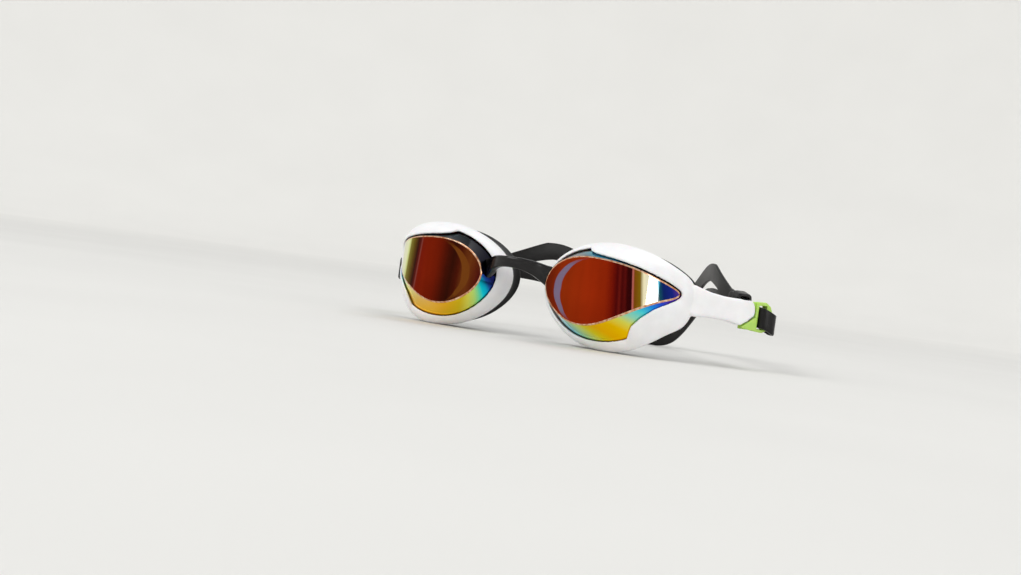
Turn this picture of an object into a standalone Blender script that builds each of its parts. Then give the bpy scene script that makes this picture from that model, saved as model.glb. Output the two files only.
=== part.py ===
# Swim goggles: two mirrored lenses in swept frames, silicone seals, a nose bridge, pivoting
# strap clips and a split silicone strap, standing upright on a flat surface.
# Sizes are in millimetres and become metres when a mesh is made.
# +X is the wearer's left, the lenses face -Y and +Z is up.
import math

import bmesh
import bpy
import numpy as np
from mathutils import Matrix, Vector

mm = 0.001
sides = (("left", 1), ("right", -1))

# fits
gap = 0.3                      # between pieces that touch
pin_gap = 0.25                 # round the clip pin
flex_gap = 0.4                 # between the bridge ears and the lens walls

# lens
lens_spacing = 29.4            # between the two faces at the nose
facet_width = 58.3             # along the curved face
facet_height = 25.9
nose_turn = -16.0              # degrees the face is turned at the nose
steady_turn = 46.0             # turned evenly across the face
wrap_turn = 36.0               # turned round the temple
wrap_place, wrap_spread = 0.64, 0.068
lens_wall = 1.9
bevel_sink = 1.1               # bevel below the straight line from face to rim
bevel_nose, bevel_temple = 0.47, 0.42                     # bevel foot, face 0 to rim 1
bevel_top, bevel_bottom = 0.65, 0.755
flange_reach = 0.6
flange_thickness = 1.2
flange_recess = 1.0            # flange's back ahead of the rim's back
temple_draw = 2.0              # the lens's rear edge is drawn in this much at the temple

# frame
rim_height = 41.6
rim_reach_nose = 6.0           # rim beyond the face towards the nose
rim_reach_temple = 3.5
rim_depth = 11.2               # rim edge behind the face, at mid width
rim_depth_nose = 1.8           # further behind at the nose
rim_depth_temple = 6.2         # less far behind at the temple
rim_thickness = 3.2
rim_crown = 0.5                # bulge of the rim's outer face
rim_land = 0.8                 # straight part of the rim's edge
rim_draft = 0.5                # the rim's back is this much smaller than its edge
hood_thickness = 1.1
lip_thickness = 0.55

# arm
arm_angle = 56.0               # swept back from +X
arm_length = 34.5              # to the tip of the outer cheek
arm_thickness = 4.6
cheek_thickness = 1.0
knuckle_radius = 2.0
knuckle_height = 5.2

# clip and its pin
pin_radius = 0.8
clip_thickness = 3.6
clip_rise, clip_drop = 1.5, 1.4     # clip above and below its slot
slot_width = 3.7
slot_clearance = 0.6                # above and below the strap in its slot
bar_width = 2.5

# bridge
bridge_thickness = 2.8
bridge_reach = 4.0             # front of the bridge ahead of the faces
peg_radius = 1.2
peg_length = 0.9

# seal
seal_depth = 7.6
seal_thickness = 1.5

# strap
strap_width = 8.0
strap_thickness = 1.3
band_width = 7.6               # each of the two bands at the back
band_spacing = 3.2
strap_back = 130.0             # behind the faces
tail_length = 40.0
keeper_length = 6.0
keeper_wall = 1.3
keeper_place = 23.0            # along the strap's straight run behind the clip
straight_run = 50.0

# Edges of the face and of the rim: share of the width, then the upper and lower edge's
# height as shares of facet_height and of rim_height. The edges meet in the end rows.
outline = [
    (0.000, 0.031, 0.031, 0.005, 0.005),
    (0.086, 0.352, -0.301, 0.276, -0.293),
    (0.275, 0.502, -0.490, 0.440, -0.488),
    (0.410, 0.504, -0.462, 0.474, -0.526),
    (0.550, 0.468, -0.320, 0.459, -0.510),
    (0.690, 0.398, -0.150, 0.406, -0.416),
    (0.820, 0.310, -0.026, 0.329, -0.300),
    (0.930, 0.228, 0.046, 0.250, -0.207),
    (1.000, 0.135, 0.135, 0.060, 0.060),
]
# Where the hood's edge lies: share of the width, share of the bevel left bare.
hood_top = [(0.300, 0.93), (0.318, 0.55), (0.36, 0.30), (0.45, 0.17), (0.60, 0.11), (1.0, 0.09)]
hood_bottom = [(0.600, 0.93), (0.618, 0.72), (0.64, 0.52), (0.70, 0.36), (0.80, 0.22), (1.0, 0.09)]

finishes = {   # base colour, roughness, metallic
    "lens": ((0.35, 0.03, 0.01), 0.08, 0.8),
    "frame": ((0.86, 0.86, 0.87), 0.35, 0.0),
    "seal": ((0.012, 0.012, 0.013), 0.6, 0.0),
    "bridge": ((0.02, 0.018, 0.018), 0.25, 0.0),
    "clip": ((0.46, 0.72, 0.13), 0.4, 0.0),
    "pin": ((0.6, 0.6, 0.6), 0.3, 1.0),
    "strap": ((0.013, 0.011, 0.011), 0.5, 0.0),
    "keeper": ((0.015, 0.014, 0.014), 0.45, 0.0),
}


# ---------- curves

def closed_spline(knots, values):
    """A smooth curve round a full turn, through the values at the knots."""
    knots, values = np.array(knots), np.array(values)
    count = len(knots)
    steps = np.diff(np.append(knots, knots[0] + 2 * np.pi))
    matrix, right = np.zeros((count, count)), np.zeros(count)
    for i in range(count):
        following = (i + 1) % count
        matrix[i, i - 1] = steps[i - 1]
        matrix[i, i] = 2 * (steps[i - 1] + steps[i])
        matrix[i, following] = steps[i]
        right[i] = 6 * ((values[following] - values[i]) / steps[i]
                        - (values[i] - values[i - 1]) / steps[i - 1])
    bend = np.linalg.solve(matrix, right)

    def at(angle):
        angle = np.mod(angle - knots[0], 2 * np.pi) + knots[0]
        i = np.clip(np.searchsorted(knots, angle, side="right") - 1, 0, count - 1)
        j = (i + 1) % count
        before, after = knots[i] + steps[i] - angle, angle - knots[i]
        return ((bend[i] * before ** 3 + bend[j] * after ** 3) / (6 * steps[i])
                + (values[i] / steps[i] - bend[i] * steps[i] / 6) * before
                + (values[j] / steps[i] - bend[j] * steps[i] / 6) * after)
    return at


def smooth_path(points, spacing):
    """Points about a spacing apart on a smooth open curve through the given points."""
    p = np.array(points, dtype=float)
    p = np.vstack([2 * p[0] - p[1], p, 2 * p[-1] - p[-2]])
    fine = []
    for a, b, c, d in zip(p, p[1:], p[2:], p[3:]):
        for t in np.linspace(0, 1, 24, endpoint=False):
            fine.append(b + 0.5 * ((c - a) * t + (2 * a - 5 * b + 4 * c - d) * t ** 2
                                   + (3 * b - a - 3 * c + d) * t ** 3))
    fine = np.array(fine + [p[-2]])
    run = np.append(0, np.cumsum(np.linalg.norm(np.diff(fine, axis=0), axis=1)))
    where = np.linspace(0, run[-1], max(2, round(run[-1] / spacing)) + 1)
    return np.stack([np.interp(where, run, fine[:, k]) for k in range(p.shape[1])], axis=1), where


# ---------- the eye's edges, each a loop of points round the face

def angle_at(share):
    return np.arccos(1 - 2 * np.asarray(share))


def share_at(angle):
    return (1 - np.cos(angle)) / 2


def edge_heights(upper, lower, height):
    """Height of an edge at any angle: 0 at the nose, over the top, half a turn at the temple."""
    over = [(angle_at(row[0]), row[upper] * height) for row in outline]
    under = [(2 * np.pi - angle_at(row[0]), row[lower] * height) for row in outline[-2:0:-1]]
    knots, values = zip(*(over + under))
    return closed_spline(knots, values)


facet_edge_height = edge_heights(1, 2, facet_height)
rim_edge_height = edge_heights(3, 4, rim_height)
ground = float(np.min(rim_edge_height(np.linspace(np.pi, 2 * np.pi, 721))))


def face_plan(share, behind=0.0):
    """Plan point on the face, or behind it, at a share of its width from the nose."""
    s = np.linspace(0, 1, 401)
    wrap = 1 / (1 + np.exp((wrap_place - s) / wrap_spread))
    wrap = (wrap - wrap[0]) / (wrap[-1] - wrap[0])
    turn = np.radians(nose_turn + steady_turn * s + wrap_turn * wrap)
    middle = (turn[1:] + turn[:-1]) / 2
    step = facet_width / 400
    x = lens_spacing / 2 + np.append(0, np.cumsum(np.cos(middle))) * step
    y = np.append(0, np.cumsum(np.sin(middle))) * step
    turn = np.interp(share, s, turn)
    return (np.interp(share, s, x) - np.sin(turn) * behind,
            np.interp(share, s, y) + np.cos(turn) * behind)


def stack(x, y, z):
    return np.stack(np.broadcast_arrays(x, y, z), axis=-1)


def facet_loop(angle):
    x, y = face_plan(share_at(angle))
    return stack(x, y, facet_edge_height(angle))


def rim_loop(angle):
    share = share_at(angle)
    near_nose, near_temple = (1 - share) ** 2, share ** 2
    x, y = face_plan(share)
    return stack(x - rim_reach_nose * near_nose + rim_reach_temple * near_temple,
                 y + rim_depth + rim_depth_nose * near_nose - rim_depth_temple * near_temple,
                 rim_edge_height(angle))


def outward(angle):
    """Unit direction from the face to the rim, in the XZ plane."""
    across = rim_loop(angle) - facet_loop(angle)
    across[..., 1] = 0
    return across / np.linalg.norm(across, axis=-1, keepdims=True)


def bevel_loop(angle, share_of_bevel=1.0, out=0.0):
    """A line round the bevel: 0 at the face, 1 at its foot, moved out square to it."""
    facet, rim = facet_loop(angle), rim_loop(angle)
    share = share_at(angle)[..., None]
    near_nose, near_temple = (1 - share) ** 2, share ** 6
    side = np.where(np.sin(angle) >= 0, bevel_top, bevel_bottom)[..., None]
    blend = np.abs(np.sin(angle))[..., None] ** 0.5
    side = blend * side + (1 - blend) * (bevel_top + bevel_bottom) / 2
    foot = near_nose * bevel_nose + near_temple * bevel_temple
    foot += (1 - near_nose - near_temple) * side
    foot = facet + (rim - facet) * foot
    foot[..., 1] += bevel_sink
    slope = foot - facet
    rise = outward(angle)
    width = np.sum(slope * rise, axis=-1, keepdims=True)
    length = np.sqrt(width ** 2 + slope[..., 1:2] ** 2)
    square = rise * slope[..., 1:2] / length
    square[..., 1:2] -= width / length
    return (facet + slope * np.asarray(share_of_bevel)[..., None]
            + square * np.asarray(out)[..., None])


def rear_loop(angle, out, behind):
    """A line behind the rim: out from the bevel's foot, and behind the rim's edge."""
    loop = bevel_loop(angle) + outward(angle) * out
    loop[..., 1] = rim_loop(angle)[..., 1] + behind
    loop[..., 0] -= temple_draw * share_at(angle) ** 4
    return loop


def inset_rim(angle, inset, behind):
    """A line inside the rim's edge and behind it."""
    loop = rim_loop(angle) - outward(angle) * inset
    loop[..., 1] += behind
    return loop


# ---------- meshes

def finish(kind):
    name = "finish_" + kind
    if name in bpy.data.materials:
        return bpy.data.materials[name]
    colour, roughness, metallic = finishes[kind]
    material = bpy.data.materials.new(name)
    material.use_nodes = True
    shader = material.node_tree.nodes["Principled BSDF"]
    shader.inputs["Base Color"].default_value = (*colour, 1)
    shader.inputs["Roughness"].default_value = roughness
    shader.inputs["Metallic"].default_value = metallic
    return material


def add_object(name, kind, points, faces, side=1, smooth_angle=35):
    """An object from points in millimetres, mirrored for the right side."""
    mesh = bpy.data.meshes.new(name)
    mesh.from_pydata([tuple(p) for p in np.array(points) * (side * mm, mm, mm)], [], faces)
    shape = bmesh.new()
    shape.from_mesh(mesh)
    bmesh.ops.remove_doubles(shape, verts=shape.verts, dist=1e-7)
    bmesh.ops.recalc_face_normals(shape, faces=shape.faces)
    shape.to_mesh(mesh)
    shape.free()
    mesh.materials.append(finish(kind))
    mesh.shade_smooth()
    mesh.set_sharp_from_angle(angle=math.radians(smooth_angle))
    thing = bpy.data.objects.new(name, mesh)
    bpy.context.collection.objects.link(thing)
    return thing


def join_loops(loops, closed):
    """Faces between neighbouring loops, all with the same number of points."""
    points = np.concatenate(loops)
    count, rows = len(loops[0]), len(loops)
    faces = []
    for i in range(rows if closed else rows - 1):
        for j in range(count):
            k = (j + 1) % count
            a, b = i * count, (i + 1) % rows * count
            faces.append((a + j, a + k, b + k, b + j))
    return points, faces


def loft(name, kind, sections, side=1):
    """A solid through open sections, with flat ends."""
    points, faces = join_loops(sections, closed=False)
    count = len(sections[0])
    faces.append(tuple(range(count))[::-1])
    faces.append(tuple(range(len(points) - count, len(points))))
    return add_object(name, kind, points, faces, side)


def extrude(name, kind, outline_points, place, low, high, side=1):
    """A flat outline given a thickness, each point put in place by a function."""
    sections = [np.array([place(*point, level) for point in outline_points])
                for level in (low, high)]
    return loft(name, kind, sections, side)


def combine(target, tool, operation):
    """A live Boolean; the tool is kept as a hidden guide."""
    modifier = target.modifiers.new(operation.lower(), "BOOLEAN")
    modifier.operation = operation
    modifier.solver = "EXACT"
    modifier.object = tool
    tool.hide_render = True
    tool.display_type = "WIRE"
    tool.name = "guide_" + tool.name


def circle(radius, steps, start=0.0):
    turns = start + np.arange(steps) * 2 * np.pi / steps
    return np.stack([radius * np.cos(turns), radius * np.sin(turns)], axis=1)


def rounded_box(width, height, radius, steps=3):
    """Outline of a box with round corners, about its centre."""
    radius = min(radius, width / 2.01, height / 2.01)
    points = []
    for corner, (sx, sy) in enumerate([(1, 1), (-1, 1), (-1, -1), (1, -1)]):
        for turn in np.linspace(corner, corner + 1, steps + 1) * np.pi / 2:
            points.append((sx * (width / 2 - radius) + radius * np.cos(turn),
                           sy * (height / 2 - radius) + radius * np.sin(turn)))
    return np.array(points)


# ---------- lens

def even_angles(count):
    """Angles in mirrored pairs, so that a face's upper and lower points share a plan place."""
    return np.arange(count) * 2 * np.pi / count


def lens(side_name, side):
    angle = even_angles(72)
    toward = outward(angle)
    inner_share = share_at(angle) * 0.88 + 0.045
    x, y = face_plan(inner_share, lens_wall)
    squeeze = 1 - 2 * lens_wall / facet_height - 0.5 * share_at(angle) ** 6
    middle = (facet_edge_height(angle) + facet_edge_height(-angle)) / 2
    height = middle + (facet_edge_height(angle) - middle) * squeeze
    inner_face = stack(x, y, height)
    rear = rim_thickness - flange_recess
    inner_foot = bevel_loop(angle) - toward * lens_wall
    inner_foot[:, 1] += lens_wall * 0.5
    inner_rear = rear_loop(angle, -lens_wall, rear)
    loops = [
        facet_loop(angle),
        bevel_loop(angle),
        rear_loop(angle, 0.0, rear - flange_thickness),
        rear_loop(angle, flange_reach, rear - flange_thickness),
        rear_loop(angle, flange_reach, rear),
        inner_rear,
        inner_foot,
        inner_face,
    ]
    points, faces = join_loops(loops, closed=False)
    faces += face_fill(0, 72) + face_fill(7 * 72, 72)
    return add_object(side_name + "_lens", "lens", points, faces, side)


def face_fill(first, count):
    """Faces across a loop, between its mirrored upper and lower points."""
    faces = []
    for i in range(count // 2):
        corners = [first + i, first + i + 1, first + (count - i - 1) % count,
                   first + (count - i) % count]
        faces.append(tuple(dict.fromkeys(corners)))
    return faces


# ---------- frame

def hood_edge(angle):
    share = share_at(angle)
    top, bottom = np.array(hood_top).T, np.array(hood_bottom).T
    return np.where(np.sin(angle) >= 0, np.interp(share, *top), np.interp(share, *bottom))


def frame_angles():
    """Even angles, with close pairs at the two steps of the hood."""
    steps = [angle_at(row[0]) for row in hood_top[:3]]
    steps += [2 * np.pi - angle_at(row[0]) for row in hood_bottom[:3]]
    plain = [a for a in even_angles(76) if min(abs(a - s) for s in steps) > 0.03]
    return np.array(sorted(plain + steps))


def frame(side_name, side):
    angle = frame_angles()
    bare = hood_edge(angle)
    lip = lip_thickness + (hood_thickness - lip_thickness) * (1 - bare)
    front_inner = bevel_loop(angle, bare, gap)
    front_outer = bevel_loop(angle, bare, gap + lip)
    rim = rim_loop(angle)
    crown = rim_crown * outward(angle)
    crown[:, 1] -= rim_crown
    bore = gap + flange_reach + gap
    flange_front = rim_thickness - flange_recess - flange_thickness - gap
    loops = [
        front_inner,
        front_outer,
        front_outer * 0.55 + rim * 0.45 + crown,
        front_outer * 0.15 + rim * 0.85 + crown * 0.6,
        rim + (0, rim_land, 0),
        inset_rim(angle, rim_draft, rim_thickness),
        rear_loop(angle, bore, rim_thickness),
        rear_loop(angle, bore, flange_front),
        rear_loop(angle, gap, flange_front),
        bevel_loop(angle, 1.0, gap * 1.05),
    ]
    points, faces = join_loops(loops, closed=True)
    body = add_object(side_name + "_frame", "frame", points, faces, side)
    combine(body, arm(side_name, side), "UNION")
    return body


# ---------- arm, in its own plan frame: along it, inward from its outer face, and up

arm_root = face_plan(1.0, -0.7)
arm_turn = math.radians(arm_angle)
pivot_along = arm_length - 2.6
web_start = 27.5               # the knuckle's web begins inside the blade
pivot_inward = cheek_thickness + gap + knuckle_radius + 0.1
knuckle_level = -0.9           # its mid height


def arm_point(along, inward, up):
    return (arm_root[0] + along * math.cos(arm_turn) - inward * math.sin(arm_turn),
            arm_root[1] + along * math.sin(arm_turn) + inward * math.cos(arm_turn), up)


def arm(side_name, side):
    """A tapered blade with the bored knuckle at its end and a cheek over the knuckle."""
    rows = [   # along, inner face, outer face, upper edge, lower edge
        (4.4, 1.2, 0.35, 6.4, -1.6),
        (6.4, 2.4, 0.15, 8.0, -4.0),
        (9.0, 4.4, 0.00, 7.2, -4.1),
        (14.0, arm_thickness, 0.0, 6.0, -3.8),
        (20.0, arm_thickness, 0.0, 5.2, -4.0),
        (24.5, arm_thickness, 0.0, 5.0, -4.5),
        (27.0, arm_thickness, 0.0, 5.0, -5.0),
        (28.6, arm_thickness, 0.0, 5.0, -5.2),
    ]
    sections = []
    for along, inner, outer, upper, lower in rows:
        shape = rounded_box(inner - outer, upper - lower, 1.1)
        centre = ((inner + outer) / 2, (upper + lower) / 2)
        sections.append(np.array([arm_point(along, centre[0] + i, centre[1] + u)
                                  for i, u in shape]))
    blade = loft(side_name + "_arm_blade", "frame", sections, side)
    tip, low = arm_length, -5.1
    cheek_shape = [(24.0, 4.6), (tip - 2.3, 4.9), (tip - 1.2, 4.2), (tip - 0.3, 2.2), (tip, 0.4),
                   (tip - 0.7, -1.2), (tip - 3.4, -3.4), (tip - 6.2, low), (24.0, -4.2)]
    cheek = extrude(side_name + "_arm_cheek", "frame", cheek_shape,
                    lambda a, u, level: arm_point(a, level, u), 0.02, cheek_thickness, side)
    low, high = knuckle_level - knuckle_height / 2, knuckle_level + knuckle_height / 2
    web_outer, web_inner = cheek_thickness * 0.6, arm_thickness - 0.35
    meeting = math.pi - math.asin((web_inner - pivot_inward) / knuckle_radius)
    nub = [(pivot_along + knuckle_radius * math.cos(t), pivot_inward + knuckle_radius * math.sin(t))
           for t in np.linspace(-math.pi / 2, meeting, 18)]
    nub += [(web_start, web_inner), (web_start, web_outer), (pivot_along, web_outer)]
    knuckle = extrude(side_name + "_arm_knuckle", "frame", nub,
                      lambda a, i, level: arm_point(a, i, level), low, high, side)
    for tool in (knuckle, cheek):
        combine(blade, tool, "UNION")
    bore = vertical_pin(side_name + "_pin_bore", pin_radius + pin_gap, knuckle_height + 2.5, side)
    combine(blade, bore, "DIFFERENCE")
    return blade


def vertical_pin(name, radius, height, side):
    low, high = knuckle_level - height / 2, knuckle_level + height / 2
    round_shape = circle(radius, 20) + (pivot_along, pivot_inward)
    return extrude(name, "pin", round_shape, lambda a, i, level: arm_point(a, i, level),
                   low, high, side)


# ---------- clip and pin

ear_radius = knuckle_radius + 0.1
clip_front = arm_length + 0.45           # where the clip's outer face starts
slot_start = clip_front + 1.3
slot_end = slot_start + slot_width
clip_end = slot_end + bar_width
clip_inset = 0.35                        # clip's outer face inside the arm's
slot_level = -1.2
slot_height = strap_width + 2 * slot_clearance
pin_length = knuckle_height + 3.2


def clip(side_name, side):
    def place(along, up, level):
        return arm_point(along, level, up)

    low, high = slot_level - slot_height / 2, slot_level + slot_height / 2
    top, bottom = high + clip_rise, low - clip_drop
    plate = [(clip_front, top - 0.3), (clip_end - 3.2, top), (clip_end - 0.9, top - 1.4),
             (clip_end, top - 3.4), (clip_end - 0.3, bottom + 3.2), (clip_end - 1.4, bottom + 1.2),
             (clip_end - 3.6, bottom + 0.1), (clip_front, bottom + 0.5)]
    inner_face = clip_inset + clip_thickness
    body = extrude(side_name + "_clip", "clip", plate, place, clip_inset, inner_face, side)
    ear_low = knuckle_level - knuckle_height / 2 - gap
    ear_high = knuckle_level + knuckle_height / 2 + gap
    ear_shape = [(pivot_along + ear_radius * math.cos(t), pivot_inward + ear_radius * math.sin(t))
                 for t in np.linspace(0.5, 1.5, 13) * math.pi]
    ear_root = clip_front + 1.0
    ear_shape += [(ear_root, pivot_inward - ear_radius), (ear_root, inner_face)]
    for name, foot, head in (("lower", bottom + 0.7, ear_low), ("upper", ear_high, top - 0.4)):
        ear = extrude(side_name + "_clip_ear_" + name, "clip", ear_shape,
                      lambda a, i, level: arm_point(a, i, level), foot, head, side)
        combine(body, ear, "UNION")
    tip = arm_length + gap
    ledge = ear_low - 0.3
    skin = [(tip - 5.9, -5.75), (tip - 3.2, -3.85), (tip - 0.4, -1.7), (tip + 0.9, -1.2),
            (ear_root, bottom + 0.6), (tip - 2.6, bottom + 0.75)]
    root = [(tip - 5.4, -5.8), (tip - 3.9, ledge - 0.1), (clip_front + 0.9, ledge),
            (clip_front + 0.9, bottom + 0.75), (tip - 2.6, bottom + 0.9)]
    for name, shape, outer in (("skin", skin, 0.1), ("root", root, 0.9)):
        layer = extrude(side_name + "_clip_" + name, "clip", shape, place,
                        outer, outer + cheek_thickness, side)
        combine(body, layer, "UNION")
    opening = [(slot_start, low), (slot_end, low), (slot_end, high), (slot_start, high)]
    through = clip_thickness + 1
    slot = extrude(side_name + "_clip_slot", "clip", opening, place, -through, 2 * through, side)
    combine(body, slot, "DIFFERENCE")
    bore = vertical_pin(side_name + "_clip_bore", pin_radius + pin_gap, pin_length + 0.6, side)
    combine(body, bore, "DIFFERENCE")
    return body


def pin(side_name, side):
    return vertical_pin(side_name + "_clip_pin", pin_radius, pin_length, side)


# ---------- seal

def seal(side_name, side):
    """A silicone skirt seated on the rim's back and on the lens's rear edge."""
    angle = even_angles(60)
    base = rim_thickness + gap
    bore = 2 * gap + flange_reach
    edge = rear_loop(angle, bore, base)
    rim_back = inset_rim(angle, rim_draft, base)
    at_temple = (share_at(angle) ** 4)[:, None]
    seat = rim_back + (edge - rim_back) * (0.3 + 0.7 * at_temple)
    rows = [   # out from the bore's edge, behind the seat
        (-0.6, 2.6), (-0.5, seal_depth - 2.2), (0.5, seal_depth - 0.6), (0.2, seal_depth),
        (-1.7, seal_depth - 0.9), (-0.5 - seal_thickness, seal_depth - 2.6),
        (-0.6 - seal_thickness, 2.2), (-1.0 - seal_thickness, 0.0),
    ]
    loops = [seat, seat + (0, 1.3, 0)]
    loops += [edge + outward(angle) * out + (0, behind, 0) for out, behind in rows]
    points, faces = join_loops(loops, closed=True)
    return add_object(side_name + "_seal", "seal", points, faces, side)


# ---------- nose bridge

wall_front, wall_foot = facet_loop(np.array([0.0]))[0], bevel_loop(np.array([0.0]))[0]
flex_place = (wall_front + wall_foot) / 2          # where the ear meets the lens wall
wall_run = (wall_foot - wall_front)[:2] / np.linalg.norm((wall_foot - wall_front)[:2])
peg_level = 3.4


def lens_envelope(side_name, side):
    """The lens's outer shape with the bridge's clearance, without its hollow."""
    angle = even_angles(72)
    front = bevel_loop(angle, 0.0, flex_gap)
    loops = [front, bevel_loop(angle, 1.0, flex_gap), rear_loop(angle, flex_gap, 0.0)]
    points, faces = join_loops(loops, closed=False)
    faces += face_fill(0, 72) + face_fill(2 * 72, 72)
    return add_object(side_name + "_lens_envelope", "bridge", points, faces, side)


def nose_bridge():
    end_x, end_y = flex_place[:2]
    rows = [   # plan place, upper edge, lower edge, thickness
        (0.0, -bridge_reach, 9.3, 5.0, bridge_thickness),
        (end_x * 0.34, -bridge_reach + 1.0, 9.2, 4.6, bridge_thickness),
        (end_x * 0.63, end_y - 4.3, 8.8, 3.2, bridge_thickness),
        (end_x * 0.84, end_y - 1.5, 8.1, 1.1, bridge_thickness + 0.1),
        (end_x * 1.03, end_y + 0.1, 7.5, -0.7, bridge_thickness + 0.2),
        (end_x * 1.30, end_y + 0.9, 7.0, -1.6, bridge_thickness),
    ]
    rows = [(-row[0], *row[1:]) for row in rows[:0:-1]] + rows
    path, _ = smooth_path(rows, 1.1)
    turns = np.gradient(path[:, :2], axis=0)
    turns /= np.linalg.norm(turns, axis=1, keepdims=True)
    round_turn = np.arange(20) * 2 * np.pi / 20
    across = np.sign(np.cos(round_turn)) * np.abs(np.cos(round_turn)) ** 0.75
    up = np.sign(np.sin(round_turn)) * np.abs(np.sin(round_turn)) ** 0.75
    sections = []
    for (x, y, upper, lower, thickness), (run_x, run_y) in zip(path, turns):
        sections.append(stack(x - run_y * across * thickness / 2, y + run_x * across * thickness / 2,
                              (upper + lower) / 2 + up * (upper - lower) / 2))
    bridge = loft("nose_bridge", "bridge", sections)
    for side_name, side in sides:
        combine(bridge, lens_envelope(side_name, side), "DIFFERENCE")
        root = flex_gap + bridge_thickness / 2
        stud = peg(side_name + "_bridge_peg", peg_radius, root, peg_length, side)
        combine(bridge, stud, "UNION")
    return bridge


def peg(name, radius, before, into, side):
    """A round peg square to the lens wall, from outside the wall to inside it."""
    square = np.array([wall_run[1], -wall_run[0]])
    disc = circle(radius, 16)

    def place(across, up, level):
        x, y = flex_place[:2] + wall_run * across + square * level
        return (x, y, peg_level + up)
    return extrude(name, "bridge", disc, place, -before, into, side)


# ---------- strap and keepers

keeper_turn = math.radians(136.0)      # direction of the straight run, from +X
run_start = arm_point(clip_end + 1.15, 6.0, 0)[:2]
run_direction = np.array([math.cos(keeper_turn), math.sin(keeper_turn)])
run_inward = np.array([-run_direction[1], run_direction[0]])     # towards the wearer's head
run_rise = 0.2                         # climb of the straight run
run_level = slot_level - 1.4           # its height where it leaves the clip
limb_spacing = strap_thickness + 0.45  # between the middles of the two limbs
wrap_droop = (0.0, 0.0, 0.15, 0.55, 1.4, 2.1, 2.45, 2.5, 2.2)   # below the slot's middle, round the bar


def on_run(along, inward=0.0):
    place = run_start + run_direction * along + run_inward * inward
    return (*place, run_level + run_rise * along)


def strap_route():
    """Middle of the left half of the strap, from its free end to the middle of its back."""
    slot = slot_start + 0.25 + strap_thickness / 2
    outer = -0.3 - strap_thickness / 2
    far = clip_end + 1.35 + strap_thickness / 2
    tail = [on_run(along, limb_spacing) for along in np.arange(tail_length - 6.0, 15.0, -6.0)]
    tail += [(*(np.array(arm_point(slot + 1.6, 9.5, 0)[:2])), slot_level + 0.9),
             arm_point(slot + 0.1, 4.4, slot_level + 0.3)]
    wrap = [(slot, 2.0), (slot + 0.05, 0.6), (slot + 0.55, -0.5), (slot + 1.75, outer),
            (slot + 3.9, outer - 0.05), (far - 1.65, outer + 0.4), (far - 0.35, outer + 1.65),
            (far, 2.6), (far - 0.3, 4.4)]
    wrap = [arm_point(along, inward, slot_level - droop)
            for (along, inward), droop in zip(wrap, wrap_droop)]
    run = [on_run(along) for along in (0.0, 8.0, 17.0, 26.0, straight_run)]
    low = ground + band_width + band_spacing / 2
    end_x, end_y = on_run(straight_run)[:2]
    deep = strap_back - end_y
    back = [(end_x * 0.80, end_y + deep * 0.30, 9.6), (end_x * 0.62, end_y + deep * 0.60, 5.0),
            (end_x * 0.42, end_y + deep * 0.83, -4.6), (end_x * 0.22, end_y + deep * 0.96, low),
            (end_x * 0.08, strap_back - 0.3, low), (0.0, strap_back, low)]
    path, run_length = smooth_path(tail + wrap + run + back, 0.35)
    return path, run_length


def thin_out(path, run):
    """Columns a few degrees or a few millimetres apart."""
    kept = [0]
    heading = np.unwrap(np.arctan2(*np.gradient(path[:, :2], axis=0).T[::-1]))
    for i in range(1, len(path) - 1):
        if abs(heading[i] - heading[kept[-1]]) > 0.2 or run[i] - run[kept[-1]] > 5.0:
            kept.append(i)
    kept.append(len(path) - 1)
    return path[kept], run[kept]


def strap():
    path, run = thin_out(*strap_route())
    mirrored = path[-2::-1] * (-1, 1, 1)
    to_back = run[-1] - run
    path = np.vstack([path, mirrored])
    to_back = np.append(to_back, to_back[-2::-1])
    heading = np.gradient(path[:, :2], axis=0)
    heading /= np.linalg.norm(heading, axis=1, keepdims=True)
    side_step = np.stack([-heading[:, 1], heading[:, 0], 0 * heading[:, 0]], axis=1)
    side_step *= strap_thickness / 2
    back_width = 2 * band_width + band_spacing
    width = np.interp(to_back, [62, 84], [back_width, strap_width])
    split = np.interp(to_back, [58, 72], [band_spacing, 0.8])
    slit = to_back < 73
    levels = np.stack([-width / 2, -split / 2, split / 2, width / 2], axis=1)
    levels[:, 0] = np.maximum(levels[:, 0], ground - path[:, 2])
    points, columns = [], len(path)
    for i in range(columns):
        for level in levels[i]:
            for sign in (1, -1):
                points.append(path[i] + side_step[i] * sign + (0, 0, level))

    def at(column, row, side):
        return column * 8 + row * 2 + side
    faces = []
    for i in range(columns - 1):
        open_here = slit[i] and slit[i + 1]
        for row in range(3):
            if row == 1 and open_here:
                continue
            for side in (0, 1):
                faces.append((at(i, row, side), at(i + 1, row, side),
                              at(i + 1, row + 1, side), at(i, row + 1, side)))
        for row in (0, 3) + ((1, 2) if open_here else ()):
            faces.append((at(i, row, 0), at(i, row, 1),
                          at(i + 1, row, 1), at(i + 1, row, 0)))
    ends = [i for i in range(1, columns) if slit[i] != slit[i - 1]]
    slit_ends = (ends[0], ends[1] - 1)
    for column in slit_ends:
        faces.append((at(column, 1, 0), at(column, 1, 1),
                      at(column, 2, 1), at(column, 2, 0)))
    for column in (0, columns - 1):
        for row in range(3):
            faces.append((at(column, row, 0), at(column, row, 1),
                          at(column, row + 1, 1), at(column, row + 1, 0)))
    return add_object("strap", "strap", points, faces, smooth_angle=50)


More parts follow.
